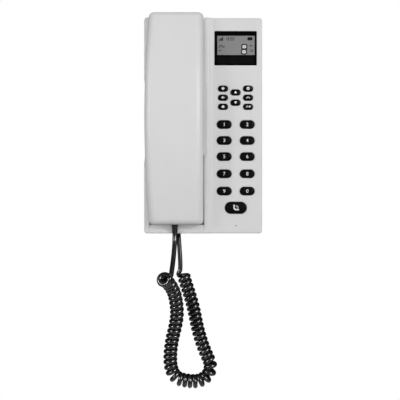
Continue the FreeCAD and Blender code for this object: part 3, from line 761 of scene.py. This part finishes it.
    def centreline(self) -> np.ndarray:
        """The cord's whole centreline, from inside the strain relief to inside the gland."""
        step = self.lead_step
        first = self.spaced(self.spline(self.handset_lead), step)
        last = self.spaced(self.spline(self.base_lead), step)
        turns = self.helix()
        first = first[:-int(self.lead_gap / step)]
        last = last[int(self.last_lead_gap / step):]
        top = first[:1] + np.array([[0, 0, self.tuck]])
        end = last[-1:] + np.array([[0, 0, self.tuck]])
        return np.concatenate([
            top, first, self.bridge(first, turns, step), turns, self.bridge(turns, last, step), last, end,
        ])

    def tube(self, line: np.ndarray) -> bpy.types.Object:
        """A closed round tube along the centreline."""
        tangents = np.gradient(line, axis=0)
        tangents /= np.linalg.norm(tangents, axis=1)[:, None]
        side = np.cross(tangents[0], (0.0, 1.0, 0.0))
        angles = 2 * math.pi * np.arange(self.sides) / self.sides
        rings = []
        for place, tangent in zip(line, tangents):
            side = side - tangent * (side @ tangent)
            side = side / np.linalg.norm(side)
            other = np.cross(tangent, side)
            rings.append(place + self.diameter / 2 * (
                np.cos(angles)[:, None] * side + np.sin(angles)[:, None] * other))
        vertices = np.concatenate(rings)
        count = self.sides
        faces = [(r * count + k, r * count + (k + 1) % count, (r + 1) * count + (k + 1) % count,
                  (r + 1) * count + k) for r in range(len(line) - 1) for k in range(count)]
        faces.append(tuple(range(count))[::-1])
        faces.append(tuple((len(line) - 1) * count + k for k in range(count)))
        return surface("curly_cord", vertices, faces, SHEATH)

    def build(self) -> bpy.types.Object:
        """Makes the cord and hides the frame's cord pieces.

        Returns:
            The cord's tube.
        """
        line = self.centreline()
        cord = self.tube(line)
        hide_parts("cord_handset_lead", "cord_coil", "cord_base_lead")
        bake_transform(cord)
        return cord


# ------------------------------------------------------------------------ keys
class Symbol(Enum):
    """The pictograms on the function keys and the call key."""

    SELECT = "key_select"
    RING = "key_ring"
    UP = "key_up"
    BACK = "key_back"
    REDIAL = "key_redial"
    DOWN = "key_down"
    BELL = "key_bell"
    MUTE = "key_mute"
    CALL = "key_call"


def handset_loops(size: float) -> list[Loop]:
    """A telephone handset seen from the side, standing on its two ends, size across."""
    r = size * 0.42
    arch = band(r, size * 0.2, 22, 158, 0, -size * 0.28, 16)
    end = rounded(size * 0.34, size * 0.26, size * 0.07)
    ends = [moved(turned(end, -22 * side), side * size * 0.39, -size * 0.14) for side in (-1, 1)]
    return [arch, *ends]


def symbol_shapes(symbol: Symbol) -> list[list[Loop]]:
    """The shapes of a pictogram, in millimetres.

    Args:
        symbol: which pictogram.

    Returns:
        Groups of loops; each group is filled on its own.
    """
    if symbol is Symbol.SELECT:
        return [[[(-1.7, 0), (0, -1.7), (1.7, 0), (0, 1.7)], circle(0.42, 0.15, 0.3)]]
    if symbol is Symbol.RING:
        return [[circle(1.55), circle(0.6)]]
    if symbol is Symbol.UP:
        return [[[(-1.3, -1.0), (1.3, -1.0), (0.45, 1.1), (-0.45, 1.1)]]]
    if symbol is Symbol.DOWN:
        return [[[(-1.3, 1.0), (-0.45, -1.1), (0.45, -1.1), (1.3, 1.0)]]]
    if symbol is Symbol.BACK:
        return [[[(-1.9, 0), (0.1, -1.5), (0.1, 1.5)]], [[(0.5, -0.8), (1.8, 0), (0.5, 0.8)]]]
    if symbol is Symbol.BELL:
        dome = band(0.55, 1.1, 0, 180, 0, 0.25, 12)
        skirt = [(-1.1, 0.35), (-1.7, -1.0), (1.7, -1.0), (1.1, 0.35)]
        return [[dome], [skirt], [circle(0.34, 0, -1.2, 12)]]
    if symbol is Symbol.MUTE:
        horn = [(2.2, -1.2), (2.2, 1.2), (0.9, 0.45), (0.3, 0.45), (0.3, -0.45), (0.9, -0.45)]
        bar = rounded(2.6, 0.42, 0.15)
        return [[horn], [moved(turned(bar, 42), -1.2, 0)], [moved(turned(bar, -42), -1.2, 0)]]
    if symbol is Symbol.REDIAL:
        return [[loop] for loop in handset_loops(3.4)]
    shapes = [[moved(turned(loop, 135), -0.5, -0.5)] for loop in handset_loops(6.6)]
    shapes += [[band(r, 0.45, 0, 78, 0.1, 0.1)] for r in (1.3, 2.3)]
    return shapes


@dataclass
class KeyPad:
    """Nineteen crowned black keys with printed marks, each on its own body."""

    proud: float = 1.6 * MM
    crown: float = 0.3 * MM
    edge: float = 0.85 * MM
    depth: float = 3.6 * MM
    lip: float = 0.7 * MM
    columns: int = 48
    rows: int = 22
    numeral: float = 3.5 * MM
    mark_proud: float = 0.05 * MM
    mark_thickness: float = 0.35 * MM
    weld: float = 0.002 * MM

    def __post_init__(self) -> None:
        """Builds the tree that every cap is made with."""
        self.sockets: dict[str, str] = {}
        self.tree = self._cap_tree()

    def _cap_tree(self) -> bpy.types.NodeTree:
        """A crowned cap with half-round ends, closed behind.

        Returns:
            A geometry tree whose inputs are the cap's sizes, place and finish.
        """
        group = bpy.data.node_groups.new("key cap", "GeometryNodeTree")
        for name in ("Width", "Height", "X", "Face", "Z", "Crown", "Edge", "Depth"):
            item = group.interface.new_socket(name, in_out="INPUT", socket_type="NodeSocketFloat")
            self.sockets[name] = item.identifier
        item = group.interface.new_socket("Finish", in_out="INPUT", socket_type="NodeSocketMaterial")
        self.sockets["Finish"] = item.identifier
        group.interface.new_socket("Geometry", in_out="OUTPUT", socket_type="NodeSocketGeometry")
        tree = Tree(group)
        given = tree.node("NodeGroupInput")

        def size(name: str) -> Link:
            """One of the tree's inputs."""
            return Link(tree, given.outputs[name])

        def stage_of(value: Link, start: float, end: float, top: float = 1.0) -> Link:
            """Goes from 0 to top while the value goes from start to end."""
            return tree.out("ShaderNodeMapRange", None, {0: value, 1: start, 2: end, 3: 0.0, 4: top})

        grid = tree.out("GeometryNodeMeshGrid", None, {
            "Size X": 1.0, "Size Y": 1.0, "Vertices X": self.columns + 1, "Vertices Y": self.rows + 1})
        place = tree.node("ShaderNodeSeparateXYZ", None, {0: tree.out("GeometryNodeInputPosition")})
        around = (Link(tree, place.outputs[0]) + (0.5 + 0.5 / self.columns)) * (2 * math.pi)
        down = Link(tree, place.outputs[1]) + 0.5
        top = stage_of(down, 0.0, 0.45)
        turn = stage_of(down, 0.45, 0.82, math.pi / 2)
        side = stage_of(down, 0.82, 0.95)
        back = stage_of(down, 0.95, 1.0)
        half = size("Height") * 0.5
        flat = half - size("Edge")
        reach = (top * flat + turn.apply("SINE") * size("Edge")) * (1.0 - back)
        fall = (top * top * size("Crown") + (1.0 - turn.apply("COSINE")) * size("Edge")
                + side * (size("Depth") - size("Edge") - size("Crown")))
        cosine = around.apply("COSINE")
        x = size("X") + cosine.apply("SIGN") * (size("Width") * 0.5 - half) + cosine * reach
        z = size("Z") + around.apply("SINE") * reach
        spot = tree.out("ShaderNodeCombineXYZ", None, {0: x, 1: size("Face") + fall, 2: z})
        shaped = tree.out("GeometryNodeSetPosition", None, {"Geometry": grid, "Position": spot})
        outward = tree.out("GeometryNodeFlipFaces", None, {0: shaped})
        welded = tree.out("GeometryNodeMergeByDistance", None, {
            "Geometry": outward, "Distance": self.weld})
        smooth = tree.out("GeometryNodeSetShadeSmooth", None, {"Geometry": welded})
        real = tree.out("GeometryNodeRealizeInstances", None, {"Geometry": smooth})
        dressed = tree.out("GeometryNodeSetMaterial", None, {"Geometry": real, "Material": size("Finish")})
        tree.node("NodeGroupOutput", None, {0: dressed})
        return group

    def cap(self, name: str, at: tuple[float, float], face: float, width: float,
            height: float) -> bpy.types.Object:
        """One cap with its crown at the face, converted to a plain mesh."""
        holder = add_object(name + "_seed", bpy.data.meshes.new(name))
        modifier = holder.modifiers.new("cap", "NODES")
        modifier.node_group = self.tree
        values = {"Width": width, "Height": height, "X": at[0], "Face": face, "Z": at[1],
                  "Crown": self.crown, "Edge": self.edge, "Depth": self.depth, "Finish": KEY_BLACK}
        for key, value in values.items():
            modifier[self.sockets[key]] = value
        return add_object(name + "_cap", as_mesh(holder, name + "_cap"))

    def build(self) -> None:
        """Makes every cap with its mark."""
        symbols = {symbol.value: symbol for symbol in Symbol}
        for node in sorted(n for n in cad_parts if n.startswith("key_") and n != "key_mat"):
            low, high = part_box(node)
            width = high.x - low.x - 2 * self.lip
            height = high.z - low.z - 2 * self.lip
            at = ((low.x + high.x) / 2, (low.z + high.z) / 2)
            cap = self.cap(node, at, low.y, width, height)
            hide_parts(node)
            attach(cap, node + "_body")
            for mark in self.marks(node, at, low.y, symbols.get(node)):
                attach(mark, node + "_body")
            LOG.info("key: %s", node)

    def marks(self, node: str, at: tuple[float, float], face: float,
              symbol: Symbol | None) -> list[bpy.types.Object]:
        """A key's printed pictogram, or its numeral if it has none."""
        def relief(name: str) -> Relief:
            """An empty mark on this key."""
            return Relief(name, INK, at, flat_face(face), self.mark_thickness, self.mark_proud)

        if symbol is None:
            return [relief(node + "_mark").from_text(node[-1], self.numeral)]
        return [relief(f"{node}_mark_{index}").from_loops(loops)
                for index, loops in enumerate(symbol_shapes(symbol))]


# --------------------------------------------------------------------- display
@dataclass
class Display:
    """Black window with the display's grey face, its segments and a tinted band below.

    Places and sizes are in millimetres; a ring's three numbers are its width, height and corner.
    """

    face_at: tuple[float, float] = (32.75, 80.25)
    face_size: tuple[float, float] = (37.4, 19.3)
    band_at: tuple[float, float] = (32.4, 65.5)
    band_size: tuple[float, float] = (36.7, 7.4)
    corner: float = 1.0
    recess: float = 0.3 * MM
    digit: tuple[float, float] = (1.7, 3.3)
    stroke: float = 0.46
    digit_pitch: float = 2.3
    clock_start: float = 8.6
    clock_gap: float = 0.7
    ring: tuple[float, float, float] = (6.0, 5.6, 1.7)
    ring_hole: tuple[float, float, float] = (3.7, 3.3, 0.9)
    ring_eye: tuple[float, float, float] = (1.3, 0.7, 0.3)
    ring_centres: tuple = ((0.15, 2.5), (-0.15, -2.5))
    ghosts: tuple = ((33.6, -9.9, 2.6, 1.6), (33.5, -15.0, 1.2, 2.6), (35.4, -15.0, 1.2, 2.6),
                     (2.6, -14.8, 2.4, 1.6))

    def segments_of(self, numeral: str) -> list[Loop]:
        """The seven-segment strokes of a numeral."""
        width, height = self.digit
        stroke = self.stroke
        lit = {"0": "abcdef", "1": "bc", "2": "abged"}[numeral]
        edge, end = (width - stroke) / 2, (height - stroke) / 2
        places = {"a": (0, end), "g": (0, 0), "d": (0, -end), "b": (edge, height / 4),
                  "c": (edge, -height / 4), "f": (-edge, height / 4), "e": (-edge, -height / 4)}
        bars = []
        for key in lit:
            size = (width - stroke, stroke) if key in "agd" else (stroke, height / 2 - stroke)
            bars.append(rounded(*size, stroke * 0.3, *places[key]))
        return bars

    def add(self, name: str, finish: bpy.types.Material, loops: Sequence[Loop], at: tuple[float, float],
            y: float, **sizes: float) -> bpy.types.Object:
        """A flat piece on the base."""
        relief = Relief(name, finish, (at[0] * MM, at[1] * MM), flat_face(y), **sizes)
        made = relief.from_loops(loops)
        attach(made, "base")
        LOG.info("display: %s", name)
        return made

    def build(self) -> None:
        """Makes the window, the face and everything on it."""
        low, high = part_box("lcd_window")
        centre = ((low.x + high.x) / 2 / MM, (low.z + high.z) / 2 / MM)
        width, height = (high.x - low.x) / MM, (high.z - low.z) / MM
        hole = rounded(*self.face_size, 0.3, self.face_at[0] - centre[0], self.face_at[1] - centre[1])
        outer = rounded(width, height, self.corner)
        window = self.add("display_window", WINDOW, [outer, hole], centre, low.y, proud=0.0,
                          thickness=high.y - low.y, bevel=0.12 * MM)
        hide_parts("lcd_window")
        top = low.y + self.recess
        pane = self.add("display_face", DISPLAY,
                        [rounded(self.face_size[0] + 1.4, self.face_size[1] + 1.4, 0.4)], self.face_at, top,
                        proud=0.0, thickness=0.7 * MM)
        self.add("display_band", WINDOW_BAND, [rounded(*self.band_size, 0.4)], self.band_at, low.y,
                 proud=0.02 * MM, thickness=0.2 * MM)
        self.picture(top)

    def picture(self, top: float) -> None:
        """Everything that the display shows: meters, clock, line sign, ghosts and the large digit."""
        ink = {"proud": 0.02 * MM, "thickness": 0.06 * MM}
        x0 = self.face_at[0] - self.face_size[0] / 2
        z1 = self.face_at[1] + self.face_size[1] / 2
        row = z1 - 3.15
        bars = [rounded(0.95, 1.2 + 0.8 * k, 0.1, 1.8 + 1.2 * k, 0.4 * k - 1.25) for k in range(4)]
        self.add("display_signal", SEGMENT, bars, (x0, row), top, **ink)
        self.add("display_clock", SEGMENT, self.clock("1200"), (x0, row), top, **ink)
        cell = rounded(4.6, 3.1, 0.3, 32.8, 0.2)
        knob = rounded(0.6, 1.6, 0.15, 30.2, 0)
        self.add("display_battery", SEGMENT, [cell, knob], (x0, row), top, **ink)
        loops = [moved(loop, 4.0, 0.3) for loop in handset_loops(4.6)]
        loops.append(band(1.1, 0.4, -50, 50, 6.2, 0.2, 10))
        self.add("display_line", SEGMENT, loops, (x0, z1 - 10.8), top, **ink)
        for index, (x, z, width, height) in enumerate(self.ghosts):
            ghost = rounded(width, height, 0.4)
            self.add(f"display_ghost_{index}", GHOST, [ghost], (x0 + x, z1 + z), top, **ink)
        self.big_digit((x0 + 26.9, z1 - 13.45), top, ink)

    def clock(self, digits: str) -> list[Loop]:
        """Four seven-segment digits with a colon between the pairs."""
        loops = []
        for index, numeral in enumerate(digits):
            shift = self.clock_start + self.digit_pitch * index + (self.clock_gap if index > 1 else 0)
            loops += [moved(bar, shift, 0) for bar in self.segments_of(numeral)]
        colon = self.clock_start + self.digit_pitch * 1.65
        return loops + [circle(0.24, colon, z, 10) for z in (-0.7, 0.7)]

    def big_digit(self, at: tuple[float, float], top: float, ink: dict[str, float]) -> None:
        """The large outlined figure of eight on the display: two rings with light cores."""
        for index, centre in enumerate(self.ring_centres):
            core = rounded(*self.ring_hole, *centre)
            outline = [rounded(*self.ring, *centre), core]
            eye = rounded(*self.ring_eye, *centre)
            self.add(f"display_digit_outline_{index}", SEGMENT, outline, at, top, **ink)
            self.add(f"display_digit_core_{index}", CORE, [core], at, top, proud=0.012 * MM,
                     thickness=0.05 * MM)
            self.add(f"display_digit_eye_{index}", GHOST, [eye], at, top, proud=0.03 * MM,
                     thickness=0.06 * MM)


# ----------------------------------------------------------------------- frame
@dataclass
class Shells:
    """The frame's own pieces, dressed where they are."""

    def build(self) -> None:
        """Gives every frame piece its finish; those not listed are cords and keys."""
        finishes = {node: finish for finish, nodes in NODE_FINISHES for node in nodes.split()}
        for node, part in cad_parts.items():
            unlisted = SHEATH if node.startswith("cord") else KEY_BLACK
            part.data.materials.clear()
            part.data.materials.append(finishes.get(node, unlisted))
            LOG.info("frame piece: %s", node)


# ----------------------------------------------------------------------- studio
@dataclass
class Studio:
    """Floor, lights and camera."""

    camera_at: tuple[float, float, float] = (-3.25, -630.0, -74.4)
    lens: float = 54.0
    floor_drop: float = 0.36
    floor_radius: float = 0.9
    ambient: float = 0.4
    pole_dimming: float = 0.45
    reflected: float = 0.03

    def build(self) -> None:
        """Sets up everything that isn't the phone."""
        self.floor()
        self.camera()
        self.world()
        self.light("key light", (0.95, -1.05, 0.42), 0.2, 36.0)
        self.light("fill light", (-1.05, -0.9, 0.4), 0.2, 21.0)
        self.light("front light", (0.0, -1.7, 0.25), 1.6, 1.15).visible_glossy = False
        self.light("right sparkle", (0.95, -1.05, 0.3), 0.34, 30.0).visible_diffuse = False
        self.light("left sparkle", (-1.05, -0.9, 0.3), 0.34, 20.0).visible_diffuse = False
        view = bpy.context.scene.view_settings
        view.view_transform = "Standard"
        view.look = "None"

    def floor(self) -> None:
        """A pale round floor under the phone."""
        low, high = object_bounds()
        centre = (low + high) / 2
        count = 96
        ring = [(centre.x + self.floor_radius * math.cos(2 * math.pi * k / count),
                 centre.y + self.floor_radius * math.sin(2 * math.pi * k / count),
                 low.z - self.floor_drop) for k in range(count)]
        pale = MouldedPlastic("pale floor", level=0.85, roughness=0.8, specular=0.1).build()
        surface("floor", ring, [range(count)], pale, smooth=False)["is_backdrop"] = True

    def camera(self) -> None:
        """A level camera in front of the phone."""
        data = bpy.data.cameras.new("camera")
        data.lens = self.lens
        data.sensor_width = 36.0
        camera = add_object("camera", data)
        camera.location = [part * MM for part in self.camera_at]
        camera.rotation_euler = (math.pi / 2, 0, 0)
        bpy.context.scene.camera = camera

    def world(self) -> None:
        """White to the eye, a soft band of light from the sides, and dark in reflections."""
        world = bpy.data.worlds.new("studio")
        bpy.context.scene.world = world
        world.use_nodes = True
        tree = Tree(world.node_tree)
        direction = tree.node("ShaderNodeSeparateXYZ", None, {
            0: tree.out("ShaderNodeTexCoord", output="Generated")})
        height = Link(tree, direction.outputs[2])
        level = (1.0 - height * height * self.pole_dimming) * self.ambient
        paths = tree.node("ShaderNodeLightPath")
        glossy = Link(tree, paths.outputs["Is Glossy Ray"])
        level = level * (1.0 - glossy * (1.0 - self.reflected))
        lit = tree.out("ShaderNodeBackground", None, {"Color": (1, 1, 1, 1), "Strength": level})
        seen = tree.out("ShaderNodeBackground", None, {"Color": (1, 1, 1, 1), "Strength": 1.0})
        direct = Link(tree, paths.outputs["Is Camera Ray"])
        mixed = tree.out("ShaderNodeMixShader", None, {0: direct, 1: lit, 2: seen})
        tree.node("ShaderNodeOutputWorld", None, {0: mixed})

    def light(self, name: str, at: tuple[float, float, float], size: float,
              radiance: float) -> bpy.types.Object:
        """A soft square light that faces the phone.

        Args:
            name: what to call it.
            at: its place.
            size: the length of its side.
            radiance: how bright its face is.

        Returns:
            The lamp.
        """
        data = bpy.data.lights.new(name, "AREA")
        data.size = size
        data.energy = radiance * math.pi * size * size
        lamp = add_object(name, data)
        lamp.location = at
        aim = Vector((0.0, -0.03, -0.05)) - Vector(at)
        lamp.rotation_euler = aim.to_track_quat("-Z", "Y").to_euler()
        return lamp


def main() -> None:
    """Builds the studio, then every part of the phone."""
    Studio().build()
    Shells().build()
    CurlyCord().build()
    KeyPad().build()
    Display().build()


if __name__ == "__main__":
    main()
